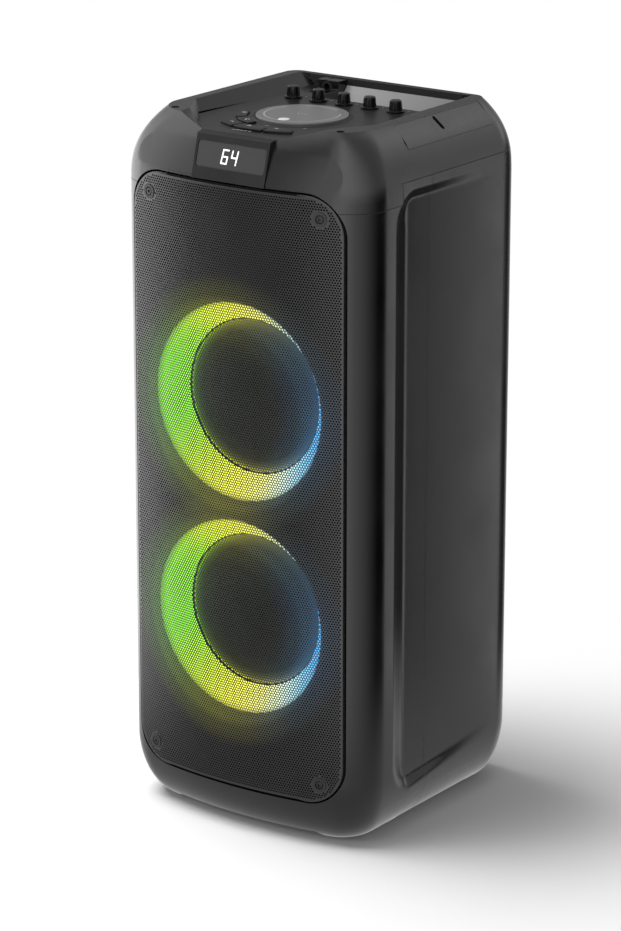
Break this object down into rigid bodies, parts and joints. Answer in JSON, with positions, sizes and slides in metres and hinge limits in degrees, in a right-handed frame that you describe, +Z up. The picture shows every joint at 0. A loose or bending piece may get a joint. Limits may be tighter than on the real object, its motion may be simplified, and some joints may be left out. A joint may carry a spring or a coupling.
{
  "type": "party speaker",
  "caption": "Tall free-standing party speaker: bowed perforated grille over glowing ring lights, top deck with jog dial, knobs and keys, display block and rear hand scoop.",
  "frame": {"origin": "on the floor at the middle of the bounding box", "axes": "+X to the right seen from the front, +Y to the rear, +Z up"},
  "size_m": [0.27, 0.2737, 0.6534],
  "materials": {
    "shell_plastic": "fine moulded texture, satin black",
    "cap_plastic": "fine moulded texture, satin black",
    "trim_plastic": "satin dark grey",
    "grille_steel": "perforated steel, matt black powder coat",
    "frame_plastic": "matt black",
    "black_rubber": "soft black rubber",
    "black_screw": "black oxide",
    "diffuser": "milky translucent light guide",
    "circuit_board": "green solder mask",
    "basket_steel": "black painted pressed steel",
    "ferrite": "sintered ferrite with zinc-plated plate",
    "cone_pulp": "black coated paper cone",
    "coil_copper": "copper winding",
    "deck_plastic": "satin black",
    "dial_plastic": "satin grey, fine spun finish",
    "knob_plastic": "black, gloss fluted",
    "key_rubber": "satin black keytop",
    "bezel_plastic": "satin dark grey",
    "window": "smoked acrylic",
    "grip_rubber": "ribbed soft touch",
    "socket_plastic": "matt black",
    "panel_plastic": "matt black",
    "sink_aluminium": "extruded aluminium",
    "battery_wrap": "blue shrink wrap"
  },
  "bodies": {
    "cabinet": {"amplifier_board": "circuit_board", "baffle": "frame_plastic", "basket_lower": "basket_steel", "basket_upper": "basket_steel", "battery_pack": "battery_wrap", "battery_tray": "frame_plastic", "cap_screws": "black_screw", "control_board": "circuit_board", "control_deck": "deck_plastic", "dial_ring": "diffuser", "display_bezel": "bezel_plastic", "display_module": "circuit_board", "display_window": "window", "foot_pads": "black_rubber", "front_shell": "shell_plastic", "grille": "grille_steel", "grille_frame": "frame_plastic", "grille_screws": "black_screw", "grille_washers": "frame_plastic", "grip_strip": "grip_rubber", "heat_sink": "sink_aluminium", "jacks": "socket_plastic", "led_board_lower": "circuit_board", "led_board_upper": "circuit_board", "magnet_lower": "ferrite", "magnet_upper": "ferrite", "mains_inlet": "socket_plastic", "panel_screws": "black_screw", "port_tube": "frame_plastic", "rear_panel": "panel_plastic", "rear_shell": "shell_plastic", "ring_light_lower": "diffuser", "ring_light_upper": "diffuser", "shell_screws": "black_screw", "shoulder_trims": "trim_plastic", "side_socket": "socket_plastic", "surround_lower": "black_rubber", "surround_upper": "black_rubber", "switch_frame": "socket_plastic", "top_cap": "cap_plastic", "usb_port": "socket_plastic"},
    "jog_dial": {"jog_dial": "dial_plastic"},
    "power_rocker": {"power_rocker": "knob_plastic"},
    "woofer_cone_lower": {"cone_lower": "cone_pulp", "dust_cap_lower": "cone_pulp", "voice_coil_lower": "coil_copper"},
    "woofer_cone_upper": {"cone_upper": "cone_pulp", "dust_cap_upper": "cone_pulp", "voice_coil_upper": "coil_copper"},
    "knob_1": {"knob_1": "knob_plastic"},
    "key_1": {"key_1": "key_rubber"},
    "knob_2": {"knob_2": "knob_plastic"},
    "key_2": {"key_2": "key_rubber"},
    "knob_3": {"knob_3": "knob_plastic"},
    "key_3": {"key_3": "key_rubber"},
    "knob_4": {"knob_4": "knob_plastic"},
    "key_4": {"key_4": "key_rubber"},
    "knob_5": {"knob_5": "knob_plastic"},
    "key_5": {"key_5": "key_rubber"}
  },
  "joints": [
    {"name": "jog_turn", "type": "hinge", "parent": "cabinet", "child": "jog_dial", "pos_m": [0, -0.0249, 0.6445], "axis": [0, 0, 1], "continuous": true},
    {"name": "knob_1_turn", "type": "hinge", "parent": "cabinet", "child": "knob_1", "pos_m": [-0.0564, 0.0388, 0.648], "axis": [0, 0, 1], "range_deg": [-150, 150]},
    {"name": "knob_2_turn", "type": "hinge", "parent": "cabinet", "child": "knob_2", "pos_m": [-0.0282, 0.0388, 0.648], "axis": [0, 0, 1], "range_deg": [-150, 150]},
    {"name": "knob_3_turn", "type": "hinge", "parent": "cabinet", "child": "knob_3", "pos_m": [0, 0.0388, 0.648], "axis": [0, 0, 1], "range_deg": [-150, 150]},
    {"name": "knob_4_turn", "type": "hinge", "parent": "cabinet", "child": "knob_4", "pos_m": [0.0282, 0.0388, 0.648], "axis": [0, 0, 1], "range_deg": [-150, 150]},
    {"name": "knob_5_turn", "type": "hinge", "parent": "cabinet", "child": "knob_5", "pos_m": [0.0564, 0.0388, 0.648], "axis": [0, 0, 1], "range_deg": [-150, 150]},
    {"name": "key_1_press", "type": "slide", "parent": "cabinet", "child": "key_1", "axis": [0, 0, -1], "range_m": [0, 0.0008], "stiffness_N_per_m": 600, "springref_m": -0.001},
    {"name": "key_2_press", "type": "slide", "parent": "cabinet", "child": "key_2", "axis": [0, 0, -1], "range_m": [0, 0.0008], "stiffness_N_per_m": 600, "springref_m": -0.001},
    {"name": "key_3_press", "type": "slide", "parent": "cabinet", "child": "key_3", "axis": [0, 0, -1], "range_m": [0, 0.0008], "stiffness_N_per_m": 600, "springref_m": -0.001},
    {"name": "key_4_press", "type": "slide", "parent": "cabinet", "child": "key_4", "axis": [0, 0, -1], "range_m": [0, 0.0008], "stiffness_N_per_m": 600, "springref_m": -0.001},
    {"name": "key_5_press", "type": "slide", "parent": "cabinet", "child": "key_5", "axis": [0, 0, -1], "range_m": [0, 0.0008], "stiffness_N_per_m": 600, "springref_m": -0.001},
    {"name": "cone_lower_travel", "type": "slide", "parent": "cabinet", "child": "woofer_cone_lower", "axis": [0, -1, 0], "range_m": [-0.004, 0.004], "stiffness_N_per_m": 1600},
    {"name": "cone_upper_travel", "type": "slide", "parent": "cabinet", "child": "woofer_cone_upper", "axis": [0, -1, 0], "range_m": [-0.004, 0.004], "stiffness_N_per_m": 1600},
    {"name": "power_rock", "type": "hinge", "parent": "cabinet", "child": "power_rocker", "pos_m": [0.03, 0.1295, 0.12], "axis": [1, 0, 0], "range_deg": [-9, 9]}
  ]
}
